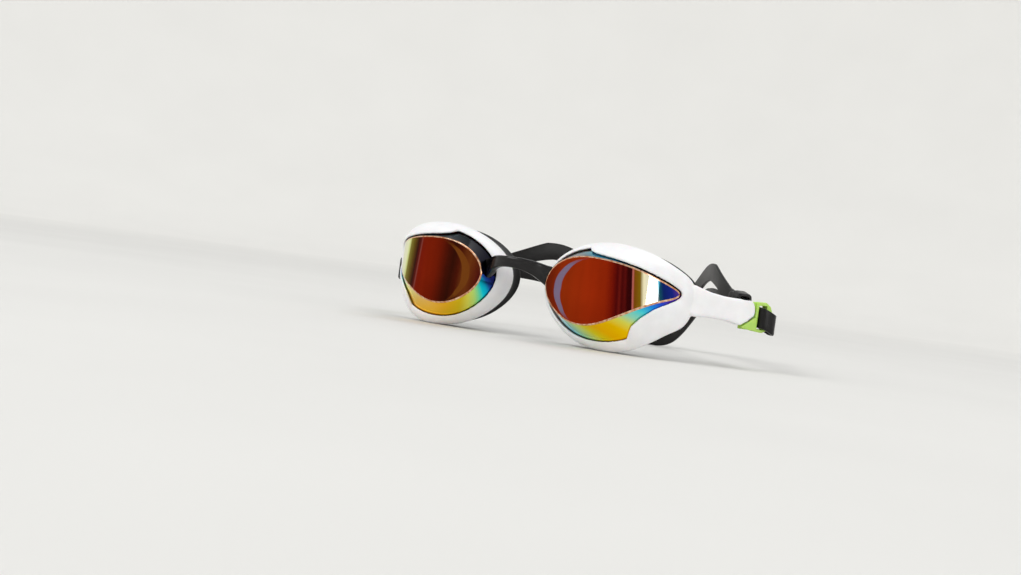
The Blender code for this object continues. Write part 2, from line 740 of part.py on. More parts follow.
def keeper(side_name, side):
    deep, tall = limb_spacing + strap_thickness + 0.8, strap_width + 0.9
    inside = rounded_box(deep, tall, 0.8)
    outside = rounded_box(deep + 2 * keeper_wall, tall + 2 * keeper_wall, 1.6)
    loops = []
    for shape, end, inset in ((outside, -0.5, 0.4), (outside, -0.42, 0.0), (outside, 0.42, 0.0),
                              (outside, 0.5, 0.4), (inside, 0.5, 0.0), (inside, -0.5, 0.0)):
        along = keeper_place + end * keeper_length
        x, y, z = on_run(along, limb_spacing / 2)
        size = 1 - inset / 6
        across = shape[:, :1] * size * run_inward
        loops.append(stack(x + across[:, 0], y + across[:, 1], z + shape[:, 1] * size))
    points, faces = join_loops(loops, closed=True)
    return add_object(side_name + "_strap_keeper", "keeper", points, faces, side)


# ---------- assembly

front_y = -bridge_reach - bridge_thickness / 2
back_y = strap_back + strap_thickness / 2
shift = Vector((0, -(front_y + back_y) / 2, -ground)) * mm


def pivot(name, place, parent, side=1):
    """An empty on a joint's axis."""
    empty = bpy.data.objects.new(name, None)
    empty.empty_display_size = 5 * mm
    world = Matrix.Translation(Vector((place[0] * side, place[1], place[2])) * mm)
    bpy.context.collection.objects.link(empty)
    attach(empty, parent, world)
    print(name, [round(v, 6) for v in world.translation + shift])
    return empty, world


def attach(thing, parent, world=None):
    """Parent to an empty without moving what is already in place."""
    world = world or Matrix.Identity(4)
    if parent is None:
        thing.matrix_basis = world
        return
    thing.parent = parent[0]
    thing.matrix_basis = parent[1].inverted() @ world


def build():
    for old in list(bpy.data.objects):
        bpy.data.objects.remove(old, do_unlink=True)
    root = pivot("goggles", (0, 0, 0), None)
    attach(nose_bridge(), root)
    attach(strap(), root)
    for side_name, side in sides:
        eye = pivot(side_name + "_eye_pivot", flex_place, root, side)
        eye_lens = lens(side_name, side)
        socket = peg(side_name + "_peg_socket", peg_radius + flex_gap, 3.0,
                     peg_length + flex_gap, side)
        combine(eye_lens, socket, "DIFFERENCE")
        for thing in (eye_lens, frame(side_name, side), seal(side_name, side), pin(side_name, side)):
            attach(thing, eye)
        knuckle = arm_point(pivot_along, pivot_inward, knuckle_level)
        hinge = pivot(side_name + "_clip_hinge", knuckle, eye, side)
        attach(clip(side_name, side), hinge)
        middle = on_run(keeper_place, limb_spacing / 2)
        track = pivot(side_name + "_keeper_track", middle, root, side)
        attach(keeper(side_name, side), track)
    root[0].matrix_basis = Matrix.Translation(shift)
    for guide in bpy.data.objects:
        if guide.name.startswith("guide_"):
            guide.parent = root[0]
    print("run direction", [round(float(v), 5) for v in (*run_direction, run_rise)])


build()
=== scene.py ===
# Swim goggles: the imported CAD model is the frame, and the pieces made here give it its looks.
# Lengths in the dictionaries are millimetres unless a note says otherwise.
import math

import bmesh
import bpy
import numpy as np
from mathutils import Matrix, Vector

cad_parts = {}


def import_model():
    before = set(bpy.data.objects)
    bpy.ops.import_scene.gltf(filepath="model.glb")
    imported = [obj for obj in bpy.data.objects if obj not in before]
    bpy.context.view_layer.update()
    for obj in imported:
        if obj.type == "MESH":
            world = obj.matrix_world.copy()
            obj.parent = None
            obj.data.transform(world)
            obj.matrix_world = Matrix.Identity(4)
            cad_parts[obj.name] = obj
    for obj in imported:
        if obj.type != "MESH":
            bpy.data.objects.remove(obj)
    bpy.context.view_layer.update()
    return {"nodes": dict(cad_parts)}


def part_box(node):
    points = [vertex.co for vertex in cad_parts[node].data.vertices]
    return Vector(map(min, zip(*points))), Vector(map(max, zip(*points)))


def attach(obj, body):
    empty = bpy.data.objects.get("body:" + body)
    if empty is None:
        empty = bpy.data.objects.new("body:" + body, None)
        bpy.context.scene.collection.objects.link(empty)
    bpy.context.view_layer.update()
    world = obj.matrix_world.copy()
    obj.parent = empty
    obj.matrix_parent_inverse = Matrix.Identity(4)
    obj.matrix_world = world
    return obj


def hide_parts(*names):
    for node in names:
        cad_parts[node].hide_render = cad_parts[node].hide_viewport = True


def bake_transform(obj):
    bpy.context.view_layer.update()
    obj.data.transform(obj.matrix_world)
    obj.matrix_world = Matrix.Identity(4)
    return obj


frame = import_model()
mm = 0.001
sides = (("left", 1), ("right", -1))
print("frame loaded")

# The curves that the lens, its frame and its seal share

face = {
    "noseWidth": 29.4,         # between the two faces at the nose
    "width": 58.3,             # along the curved face
    "height": 25.9,
    "noseTurn": -16.0,         # degrees
    "steadyTurn": 46.0,
    "wrapTurn": 36.0,
    "wrapPlace": 0.64,
    "wrapSpread": 0.068,
    "wall": 1.9,
    "clearance": 0.3,
    "templeDraw": 2.0,         # the lens's rear edge is drawn in this much at the temple
}
bevel = {"sink": 1.1, "nose": 0.47, "temple": 0.42, "top": 0.65, "bottom": 0.755, "hollow": 0.12}
rim = {
    "height": 41.6,
    "noseReach": 6.0,
    "templeReach": 3.5,
    "depth": 11.2,
    "noseDepth": 1.8,
    "templeDepth": 6.2,
    "thickness": 3.2,
    "crown": 0.5,
    "hood": 1.1,
    "lip": 0.55,
}
# share of the width, then upper and lower edge of the face and of the rim
edgeRows = [
    (0.000, 0.031, 0.031, 0.005, 0.005),
    (0.086, 0.352, -0.301, 0.276, -0.293),
    (0.275, 0.502, -0.490, 0.440, -0.488),
    (0.410, 0.504, -0.462, 0.474, -0.526),
    (0.550, 0.468, -0.320, 0.459, -0.510),
    (0.690, 0.398, -0.150, 0.406, -0.416),
    (0.820, 0.310, -0.026, 0.329, -0.300),
    (0.930, 0.228, 0.046, 0.250, -0.207),
    (1.000, 0.135, 0.135, 0.060, 0.060),
]
# share of the width, share of the bevel that the hood leaves bare
hoodTop = [(0.300, 0.93), (0.318, 0.55), (0.36, 0.30), (0.45, 0.17), (0.60, 0.11), (1.0, 0.09)]
hoodBottom = [(0.600, 0.93), (0.618, 0.72), (0.64, 0.52), (0.70, 0.36), (0.80, 0.22), (1.0, 0.09)]


def closedSpline(knots, values):
    # natural bending curve round a full turn
    knots, values = np.array(knots), np.array(values)
    count = len(knots)
    steps = np.diff(np.append(knots, knots[0] + 2 * np.pi))
    matrix, right = np.zeros((count, count)), np.zeros(count)
    for i in range(count):
        j = (i + 1) % count
        matrix[i, i - 1] = steps[i - 1]
        matrix[i, i] = 2 * (steps[i - 1] + steps[i])
        matrix[i, j] = steps[i]
        right[i] = 6 * ((values[j] - values[i]) / steps[i]
                        - (values[i] - values[i - 1]) / steps[i - 1])
    bend = np.linalg.solve(matrix, right)

    def at(angle):
        angle = np.mod(angle - knots[0], 2 * np.pi) + knots[0]
        i = np.clip(np.searchsorted(knots, angle, side="right") - 1, 0, count - 1)
        j = (i + 1) % count
        before, after = knots[i] + steps[i] - angle, angle - knots[i]
        return ((bend[i] * before ** 3 + bend[j] * after ** 3) / (6 * steps[i])
                + (values[i] / steps[i] - bend[i] * steps[i] / 6) * before
                + (values[j] / steps[i] - bend[j] * steps[i] / 6) * after)
    return at


def angleAt(share):
    return np.arccos(1 - 2 * np.asarray(share))


def shareAt(angle):
    return (1 - np.cos(angle)) / 2


def edgeCurve(upper, lower, height):
    over = [(angleAt(row[0]), row[upper] * height) for row in edgeRows]
    under = [(2 * np.pi - angleAt(row[0]), row[lower] * height) for row in edgeRows[-2:0:-1]]
    return closedSpline(*zip(*(over + under)))


faceEdge = edgeCurve(1, 2, face["height"])
rimEdge = edgeCurve(3, 4, rim["height"])

# where the curves' own zero lies in the frame
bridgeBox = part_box("nose_bridge")
bridgeFront = 5.4              # bridge's front ahead of the faces' plane
zero = np.array([0.0, bridgeBox[0][1] / mm + bridgeFront,
                 -float(np.min(rimEdge(np.linspace(np.pi, 2 * np.pi, 721))))])


def stack(x, y, z):
    return np.stack(np.broadcast_arrays(x, y, z), axis=-1).astype(float)


def facePlan(share, behind=0.0):
    s = np.linspace(0, 1, 801)
    wrap = 1 / (1 + np.exp((face["wrapPlace"] - s) / face["wrapSpread"]))
    wrap = (wrap - wrap[0]) / (wrap[-1] - wrap[0])
    turn = np.radians(face["noseTurn"] + face["steadyTurn"] * s + face["wrapTurn"] * wrap)
    middle = (turn[1:] + turn[:-1]) / 2
    step = face["width"] / 800
    x = face["noseWidth"] / 2 + np.append(0, np.cumsum(np.cos(middle))) * step
    y = np.append(0, np.cumsum(np.sin(middle))) * step
    turn = np.interp(share, s, turn)
    return (np.interp(share, s, x) - np.sin(turn) * behind,
            np.interp(share, s, y) + np.cos(turn) * behind)


def faceLoop(angle, inset=0.0):
    # a line on the face, moved in from its edge
    share = shareAt(angle)
    share = share + inset / face["width"] * np.cos(angle)
    height = faceEdge(angle)
    middle = (height + faceEdge(-angle)) / 2
    half = np.abs(height - middle)
    height = middle + (height - middle) * np.maximum(1 - inset / np.maximum(half, 1e-6), 0.35)
    return stack(*facePlan(share), height)


def rimLoop(angle):
    share = shareAt(angle)
    nose, temple = (1 - share) ** 2, share ** 2
    x, y = facePlan(share)
    return stack(x - rim["noseReach"] * nose + rim["templeReach"] * temple,
                 y + rim["depth"] + rim["noseDepth"] * nose - rim["templeDepth"] * temple,
                 rimEdge(angle))


def outward(angle):
    across = rimLoop(angle) - faceLoop(angle)
    across[..., 1] = 0
    return across / np.linalg.norm(across, axis=-1, keepdims=True)


def bevelLoop(angle, along=1.0, out=0.0):
    # 0 at the face, 1 at the bevel's foot, moved out square to the bevel
    facet, edge = faceLoop(angle), rimLoop(angle)
    share = shareAt(angle)[..., None]
    nose, temple = (1 - share) ** 2, share ** 6
    side = np.where(np.sin(angle) >= 0, bevel["top"], bevel["bottom"])[..., None]
    blend = np.abs(np.sin(angle))[..., None] ** 0.5
    side = blend * side + (1 - blend) * (bevel["top"] + bevel["bottom"]) / 2
    foot = nose * bevel["nose"] + temple * bevel["temple"] + (1 - nose - temple) * side
    foot = facet + (edge - facet) * foot
    foot[..., 1] += bevel["sink"]
    slope, rise = foot - facet, outward(angle)
    width = np.sum(slope * rise, axis=-1, keepdims=True)
    length = np.sqrt(width ** 2 + slope[..., 1:2] ** 2)
    square = rise * slope[..., 1:2] / length
    square[..., 1:2] -= width / length
    return facet + slope * np.asarray(along)[..., None] + square * np.asarray(out)[..., None]


def rearLoop(angle, out, behind):
    loop = bevelLoop(angle) + outward(angle) * out
    loop[..., 1] = rimLoop(angle)[..., 1] + behind
    loop[..., 0] -= face["templeDraw"] * shareAt(angle) ** 4
    return loop


def evenAngles(count):
    return np.arange(count) * 2 * np.pi / count


# Making pieces

def selectOnly(thing):
    bpy.ops.object.select_all(action="DESELECT")
    thing.select_set(True)
    bpy.context.view_layer.objects.active = thing


def meshPiece(name, points, faces, corners=None, bands=None, side=1):
    # points in millimetres on the curves' own zero, mirrored for the right side
    mesh = bpy.data.meshes.new(name)
    mesh.from_pydata([tuple(p) for p in (np.array(points) + zero) * (side * mm, mm, mm)], [], faces)
    if corners is not None:
        layer = mesh.uv_layers.new(name="along")
        layer.data.foreach_set("uv", np.array([c for face in corners for c in face]).ravel())
    if bands is not None:
        mesh.polygons.foreach_set("material_index", bands)
    piece = bpy.data.objects.new(name, mesh)
    bpy.context.collection.objects.link(piece)
    selectOnly(piece)
    bpy.ops.object.mode_set(mode="EDIT")
    bpy.ops.mesh.select_all(action="SELECT")
    bpy.ops.mesh.remove_doubles(threshold=1e-7)
    bpy.ops.mesh.normals_make_consistent(inside=False)
    bpy.ops.object.mode_set(mode="OBJECT")
    return piece


def ringFaces(start, count, rows, closed):
    faces, corners = [], []
    for i in range(rows if closed else rows - 1):
        a, b = start + i * count, start + (i + 1) % rows * count
        low, high = i / (rows - 1), (i + 1) / (rows - 1)
        for j in range(count):
            k = (j + 1) % count
            faces.append((a + j, a + k, b + k, b + j))
            near, far = j / count, (j + 1) / count
            corners.append([(near, low), (far, low), (far, high), (near, high)])
    return faces, corners


def capFaces(loop, start, first, rows):
    # upright columns between a loop's mirrored upper and lower points
    count = len(loop)
    inner, columns = [], []
    for i in range(count // 2 + 1):
        low, high = (count - i) % count, i
        column = [start + low]
        if 0 < i < count // 2:
            for step in range(1, rows):
                column.append(first + len(inner))
                inner.append(loop[low] + (loop[high] - loop[low]) * step / rows)
            column.append(start + high)
        else:
            column += [start + high] * rows
        columns.append(column)
    faces, corners = [], []
    for i, (left, right) in enumerate(zip(columns, columns[1:])):
        u, v = shareAt(i * 2 * np.pi / count), shareAt((i + 1) * 2 * np.pi / count)
        for step in range(rows):
            ring = [(left[step], (u, step / rows)), (right[step], (v, step / rows)),
                    (right[step + 1], (v, (step + 1) / rows)),
                    (left[step + 1], (u, (step + 1) / rows))]
            kept = [c for n, c in enumerate(ring) if c[0] not in [r[0] for r in ring[:n]]]
            faces.append(tuple(c[0] for c in kept))
            corners.append([c[1] for c in kept])
    return inner, faces, corners


def useModifier(piece, kind, **settings):
    modifier = piece.modifiers.new(kind.lower(), kind)
    for name, value in settings.items():
        setattr(modifier, name, value)
    selectOnly(piece)
    bpy.ops.object.modifier_apply(modifier=modifier.name)


def smoothShade(piece, degrees=30):
    selectOnly(piece)
    bpy.ops.object.shade_smooth_by_angle(angle=math.radians(degrees))


def nodeCopy(node, name):
    # a CAD node's copy with its doubles merged
    piece = frame["nodes"][node].copy()
    piece.data = piece.data.copy()
    piece.name = name
    piece.parent = None
    piece.matrix_world = Matrix.Identity(4)
    bpy.context.collection.objects.link(piece)
    piece.hide_render = False
    piece.hide_set(False)
    selectOnly(piece)
    bpy.ops.object.mode_set(mode="EDIT")
    bpy.ops.mesh.select_all(action="SELECT")
    bpy.ops.mesh.remove_doubles(threshold=1e-6)
    bpy.ops.object.mode_set(mode="OBJECT")
    return piece


def moulded(piece, voxel, passes):
    # one skin over joined shapes, its edges eased as a mould's are
    useModifier(piece, "REMESH", mode="VOXEL", voxel_size=voxel * mm)
    useModifier(piece, "SMOOTH", factor=0.5, iterations=passes)
    selectOnly(piece)
    bpy.ops.object.shade_smooth()


def mirrored(piece, name):
    twin = piece.copy()
    twin.data = piece.data.copy()
    twin.name = name
    bpy.context.collection.objects.link(twin)
    twin.data.transform(Matrix.Diagonal((-1, 1, 1, 1)))
    twin.data.flip_normals()
    return twin


def settle(piece, body, slot, *nodes):
    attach(piece, body)
    if nodes:
        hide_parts(*nodes)


# Materials

def colour(text):
    parts = [int(text[i:i + 2], 16) / 255 for i in (1, 3, 5)]
    return (*[p / 12.92 if p <= 0.04045 else ((p + 0.055) / 1.055) ** 2.4 for p in parts], 1)


def addNode(tree, kind, inputs=None, stops=None, **settings):
    node = tree.nodes.new(kind)
    for name, value in settings.items():
        setattr(node, name, value)
    if stops:
        ramp = node.color_ramp.elements
        for _ in stops[2:]:
            ramp.new(0.5)
        for element, (place, text) in zip(ramp, stops):
            element.position = place
        for element, (place, text) in zip(ramp, stops):
            element.color = colour(text)
    for key, value in (inputs or {}).items():
        if isinstance(value, bpy.types.NodeSocket):
            tree.links.new(value, node.inputs[key])
        else:
            node.inputs[key].default_value = value
    return node


def newMaterial(name, **sockets):
    material = bpy.data.materials.new(name)
    material.use_nodes = True
    tree = material.node_tree
    shader = tree.nodes["Principled BSDF"]
    for key, value in sockets.items():
        shader.inputs[key.replace("_", " ")].default_value = value
    return material, tree, shader


def wire(tree, shader, key, socket):
    tree.links.new(socket, shader.inputs[key])


lensLooks = {
    # share of the face from nose to temple, colour there: the coating's red and orange, with
    # painted reflections of a room as the dark bars and the pale and white bands toward the temple
    "leftFace": [
        (0.000, "#5A1A08"), (0.050, "#6E2008"), (0.150, "#8C2C0A"), (0.350, "#962A0A"),
        (0.470, "#8C2408"), (0.520, "#701408"), (0.548, "#4E0A0A"), (0.565, "#6A1812"),
        (0.580, "#480A0A"), (0.600, "#5C1210"), (0.615, "#380808"), (0.641, "#30080C"),
        (0.649, "#D07068"), (0.659, "#80480E"), (0.700, "#8A6C14"), (0.722, "#FFF6CC"),
        (0.812, "#F0F2F4"), (0.832, "#1C5A66"), (0.868, "#12286E"), (0.940, "#1C2A8C"),
        (1.000, "#5A3AA0"),
    ],
    # the right lens has painted reflections of its own, so its bands differ from the left's
    "rightFace": [
        (0.000, "#4A1210"), (0.050, "#5A2410"), (0.090, "#6A3414"), (0.135, "#5C2A10"),
        (0.165, "#48160A"), (0.215, "#301008"), (0.260, "#401208"), (0.340, "#6A1A08"),
        (0.430, "#7A1E08"), (0.492, "#7A1C0A"), (0.502, "#86443C"), (0.512, "#5E1A14"),
        (0.535, "#38140C"), (0.560, "#5A3A08"), (0.585, "#6A5A0C"), (0.618, "#86781C"),
        (0.632, "#D8E088"), (0.665, "#F2F4C8"), (0.720, "#E8EAC0"), (0.812, "#F0F2F4"),
        (0.832, "#1C5A66"), (0.868, "#12286E"), (0.940, "#1C2A8C"), (1.000, "#5A3AA0"),
    ],
    # angle round the face: nose 0, over the top to the temple 0.5, back under to 1; the colours are
    # coating hues with painted reflections, dark over the top and bright beneath
    "rightBevel": [
        (0.000, "#20286A"), (0.030, "#101018"), (0.140, "#0C0C12"), (0.175, "#12242C"),
        (0.220, "#2A5A6A"), (0.280, "#101A24"), (0.420, "#14141C"), (0.500, "#5A3AA0"),
        (0.580, "#4A30A8"), (0.625, "#2090F0"), (0.660, "#4FD8E0"), (0.700, "#E8E860"),
        (0.750, "#FFC400"), (0.820, "#FFC800"), (0.865, "#F2D41E"), (0.890, "#F0EE60"),
        (0.912, "#C8F080"), (0.930, "#70E8B0"), (0.945, "#10D8E8"), (0.962, "#10B8E0"),
        (0.978, "#2858B8"), (1.000, "#20286A"),
    ],
    "leftBevel": [
        (0.000, "#2A3A3C"), (0.060, "#0C0C12"), (0.140, "#10101A"), (0.170, "#2A5A70"),
        (0.195, "#48B0C8"), (0.235, "#3AA0B8"), (0.260, "#1E6070"), (0.300, "#101A24"),
        (0.420, "#14141C"), (0.500, "#5A3AA0"), (0.580, "#4A30A8"), (0.612, "#2A50D8"),
        (0.640, "#2090F0"), (0.668, "#4FD8E0"), (0.692, "#9CE0C0"), (0.710, "#E8E860"),
        (0.732, "#FFD000"), (0.762, "#FFC400"), (0.785, "#F2E11E"), (0.805, "#D8EC80"),
        (0.825, "#A8E0B0"), (0.850, "#70CCD8"), (0.878, "#3A9AA0"), (0.910, "#1C3A3C"),
        (1.000, "#2A3A3C"),
    ],
    # colours of the painted reflection in the crescent inside each lens's nose edge
    "leftCrescentReflection": "#776882",
    "rightCrescentReflection": "#6E3C14",
    # painted shade along the bevel's foot
    "foot": "#0A0A14",
}
# where the painted reflection of a pale crescent lies: millimetres in from the nose edge of the
# face, at heights from its middle line
crescent = {
    "height": (-12.3, -10.5, -7.0, 0.0, 7.0, 11.0, 13.0),
    "near": (0.7, 1.6, 3.1, 4.3, 4.6, 4.5, 4.6),
    "far": (1.3, 3.4, 5.9, 8.3, 8.2, 6.9, 5.6),
}


def faceCoatingAndPaintedReflections(name, stops, crescentReflectionColour):
    # polycarbonate with a mirror coating, shaded as a metal. The ramp's pale and dark bands
    # are probably a room's reflections: they are painted here and don't move with the view
    material, tree, shader = newMaterial(name, Metallic=1.0, Roughness=0.06)
    along = addNode(tree, "ShaderNodeUVMap", uv_map="along")
    place = addNode(tree, "ShaderNodeSeparateXYZ", {"Vector": along.outputs["UV"]})
    # uneven coating, drawn in upright streaks about 3 mm wide
    object3d = addNode(tree, "ShaderNodeTexCoord")
    stretched = addNode(tree, "ShaderNodeMapping", {"Vector": object3d.outputs["Object"],
                                                    "Scale": (1.0, 1.0, 0.08)})
    streaks = addNode(tree, "ShaderNodeTexNoise", {"Vector": stretched.outputs["Vector"],
                                                   "Scale": 330.0, "Detail": 2.0})
    lean = addNode(tree, "ShaderNodeMath", {0: place.outputs["Y"], 1: 0.03, 2: -0.015},
                   operation="MULTIPLY_ADD")
    shifted = addNode(tree, "ShaderNodeMath", {0: place.outputs["X"], 1: lean.outputs[0]},
                      operation="ADD")
    ramp = addNode(tree, "ShaderNodeValToRGB", {"Fac": shifted.outputs[0]}, stops=stops)
    dark = addNode(tree, "ShaderNodeMapRange", {"Value": streaks.outputs["Fac"], "From Min": 0.35,
                                                "From Max": 0.65, "To Min": 0.92, "To Max": 1.0})
    toned = addNode(tree, "ShaderNodeHueSaturation", {"Color": ramp.outputs["Color"],
                                                      "Value": dark.outputs["Result"]})
    # painted reflection: a pale crescent inside the nose edge
    edge = addNode(tree, "ShaderNodeUVMap", uv_map="fromNose")
    depth = addNode(tree, "ShaderNodeSeparateXYZ", {"Vector": edge.outputs["UV"]})
    rise = addNode(tree, "ShaderNodeMapRange", {"Value": depth.outputs["X"], "From Min": 0.0,
                                                "From Max": 0.12}, interpolation_type="SMOOTHSTEP")
    fall = addNode(tree, "ShaderNodeMapRange", {"Value": depth.outputs["X"], "From Min": 0.86,
                                                "From Max": 1.0, "To Min": 1.0, "To Max": 0.0},
                   interpolation_type="SMOOTHSTEP")
    ends = addNode(tree, "ShaderNodeMapRange", {"Value": depth.outputs["Y"], "From Min": 0.70,
                                                "From Max": 0.97, "To Min": 1.0, "To Max": 0.0})
    band = addNode(tree, "ShaderNodeMath", {0: rise.outputs["Result"], 1: fall.outputs["Result"]},
                   operation="MULTIPLY")
    faded = addNode(tree, "ShaderNodeMath", {0: band.outputs[0], 1: ends.outputs["Result"]},
                    operation="MULTIPLY")
    mixed = addNode(tree, "ShaderNodeMix", {"Factor": faded.outputs[0], 6: toned.outputs["Color"],
                                            7: colour(crescentReflectionColour)}, data_type="RGBA")
    wire(tree, shader, "Base Color", mixed.outputs[2])
    return material


def bevelCoatingAndPaintedReflections(name, stops):
    # the same coating on the sloped edge, its ramp holding coating hues and painted reflections
    material, tree, shader = newMaterial(name, Metallic=1.0, Roughness=0.1)
    along = addNode(tree, "ShaderNodeUVMap", uv_map="along")
    place = addNode(tree, "ShaderNodeSeparateXYZ", {"Vector": along.outputs["UV"]})
    lean = addNode(tree, "ShaderNodeMath", {0: place.outputs["Y"], 1: 0.05, 2: -0.02},
                   operation="MULTIPLY_ADD")
    shifted = addNode(tree, "ShaderNodeMath", {0: place.outputs["X"], 1: lean.outputs[0]},
                      operation="ADD")
    ramp = addNode(tree, "ShaderNodeValToRGB", {"Fac": shifted.outputs[0]}, stops=stops)
    # painted shade at the bevel's foot: a wide dark band over the top, and below only its last line
    # is dark
    upper = addNode(tree, "ShaderNodeMath", {0: place.outputs["X"], 1: 0.45},
                    operation="LESS_THAN")
    start = addNode(tree, "ShaderNodeMath", {0: upper.outputs[0], 1: -0.42, 2: 0.90},
                    operation="MULTIPLY_ADD")
    end = addNode(tree, "ShaderNodeMath", {0: upper.outputs[0], 1: -0.22, 2: 0.98},
                  operation="MULTIPLY_ADD")
    foot = addNode(tree, "ShaderNodeMapRange", {"Value": place.outputs["Y"],
                                                "From Min": start.outputs[0],
                                                "From Max": end.outputs[0]},
                   interpolation_type="SMOOTHSTEP")
    mixed = addNode(tree, "ShaderNodeMix", {"Factor": foot.outputs["Result"],
                                            6: ramp.outputs["Color"],
                                            7: colour(lensLooks["foot"])}, data_type="RGBA")
    wire(tree, shader, "Base Color", mixed.outputs[2])
    return material


def paintedHighlightEdge():
    # rounded arris of the face, copper coloured: a painted highlight, with paler spots as painted
    # glints
    material, tree, shader = newMaterial("edgePaintedHighlight", Metallic=1.0, Roughness=0.16)
    highlightSpots = addNode(tree, "ShaderNodeTexNoise", {"Scale": 900.0, "Detail": 2.0})
    object3d = addNode(tree, "ShaderNodeTexCoord")
    tree.links.new(object3d.outputs["Object"], highlightSpots.inputs["Vector"])
    ramp = addNode(tree, "ShaderNodeValToRGB", {"Fac": highlightSpots.outputs["Fac"]},
                   stops=[(0.35, "#C88458"), (0.65, "#F0CDB0")])
    wire(tree, shader, "Base Color", ramp.outputs["Color"])
    return material


def plastic(name, hex, lighter, roughness, bump, grain, **sockets):
    # injection moulded: even colour with the faintest mottle, and the mould's fine spark grain
    material, tree, shader = newMaterial(name, **sockets)
    object3d = addNode(tree, "ShaderNodeTexCoord")
    mottle = addNode(tree, "ShaderNodeTexNoise", {"Vector": object3d.outputs["Object"],
                                                  "Scale": 160.0, "Detail": 3.0})
    ramp = addNode(tree, "ShaderNodeValToRGB", {"Fac": mottle.outputs["Fac"]},
                   stops=[(0.3, hex), (0.7, lighter)])
    wire(tree, shader, "Base Color", ramp.outputs["Color"])
    rough = addNode(tree, "ShaderNodeMapRange", {"Value": mottle.outputs["Fac"],
                                                 "To Min": roughness * 0.85,
                                                 "To Max": roughness * 1.15})
    wire(tree, shader, "Roughness", rough.outputs["Result"])
    fine = addNode(tree, "ShaderNodeTexNoise", {"Vector": object3d.outputs["Object"],
                                                "Scale": 1.0 / (grain * mm), "Detail": 2.0})
    relief = addNode(tree, "ShaderNodeBump", {"Height": fine.outputs["Fac"], "Strength": bump,
                                              "Distance": 0.02 * mm})
    wire(tree, shader, "Normal", relief.outputs["Normal"])
    return material


materials = {
    # lens faces and bevels: coating colours with painted reflections; the arris is a painted
    # highlight
    "leftFace": faceCoatingAndPaintedReflections("mirrorCoatingAndPaintedReflectionsLeft", lensLooks["leftFace"],
                           lensLooks["leftCrescentReflection"]),
    "rightFace": faceCoatingAndPaintedReflections("mirrorCoatingAndPaintedReflectionsRight", lensLooks["rightFace"],
                            lensLooks["rightCrescentReflection"]),
    "leftBevel": bevelCoatingAndPaintedReflections("mirrorCoatingAndPaintedReflectionsBevelLeft", lensLooks["leftBevel"]),
    "rightBevel": bevelCoatingAndPaintedReflections("mirrorCoatingAndPaintedReflectionsBevelRight", lensLooks["rightBevel"]),
    "edge": paintedHighlightEdge(),
    # smoked polycarbonate behind the coating: deep tint, polished in the mould
    "inside": plastic("smokedPolycarbonate", "#160C0A", "#22120E", 0.12, 0.02, 0.8,
                      IOR=1.585, Coat_Weight=0.3),
    # white polypropylene: satin, lets a little light in
    "frame": plastic("whitePolypropylene", "#ECEBED", "#F4F3F5", 0.34, 0.12, 0.25,
                     IOR=1.49, Subsurface_Weight=0.12, Subsurface_Scale=0.002),
    # lime nylon: tougher, slightly glossier
    "clip": plastic("limeNylon", "#A9D354", "#B6DD62", 0.36, 0.15, 0.25,
                    IOR=1.53, Subsurface_Weight=0.15, Subsurface_Scale=0.0015),
    # black polyurethane bridge: polished, with a sharp highlight
    "bridge": plastic("blackPolyurethane", "#0C0A0B", "#121011", 0.2, 0.02, 0.5,
                      IOR=1.5, Specular_IOR_Level=0.36),
    # liquid silicone: deep black, soft satin
    "strap": plastic("blackSilicone", "#0C0A0A", "#110F0F", 0.36, 0.2, 0.18,
                     IOR=1.41, Specular_IOR_Level=0.34),
    "seal": plastic("softBlackSilicone", "#0B0A0A", "#100E0F", 0.42, 0.2, 0.2,
                    IOR=1.41, Specular_IOR_Level=0.36),
    # turned stainless steel
    "pin": newMaterial("stainlessSteel", Base_Color=colour("#C4C6C8"), Metallic=1.0,
                       Roughness=0.28)[0],
}
print("materials ready")


# Lens

lensShape = {
    "steps": 240,
    "edgeWidth": 0.32,         # rounded arris between face and bevel
    "flangeReach": 0.6,
    "flangeThickness": 1.2,
    "recess": 1.0,
}


def mapCrescent(piece):
    # second map, for the crescent of painted reflection: across the crescent from 0 to 1, and
    # height as a share of the crescent's
    turn = np.linspace(-math.pi / 2, math.pi / 2, 400)
    edgeHeight, edgeRun = faceEdge(turn), shareAt(turn) * face["width"]
    noseSide = slice(np.argmin(edgeHeight), np.argmax(edgeHeight) + 1)
    edgeHeight, edgeRun = edgeHeight[noseSide], edgeRun[noseSide]
    vertexAt = [loop.vertex_index for loop in piece.data.loops]
    fromNose = piece.data.uv_layers.new(name="fromNose").data
    along = piece.data.uv_layers["along"].data
    for index, vertex in enumerate(vertexAt):
        height = piece.data.vertices[vertex].co.z / mm - zero[2]
        inside = along[index].uv[0] * face["width"] - np.interp(height, edgeHeight, edgeRun)
        near, far = (np.interp(height, crescent["height"], crescent[edge])
                     for edge in ("near", "far"))
        tip = crescent["height"][-1 if height > 0 else 0]
        across = (inside - near) / (far - near) if abs(height) < abs(tip) else 2.0
        fromNose[index].uv = (across, height / tip)


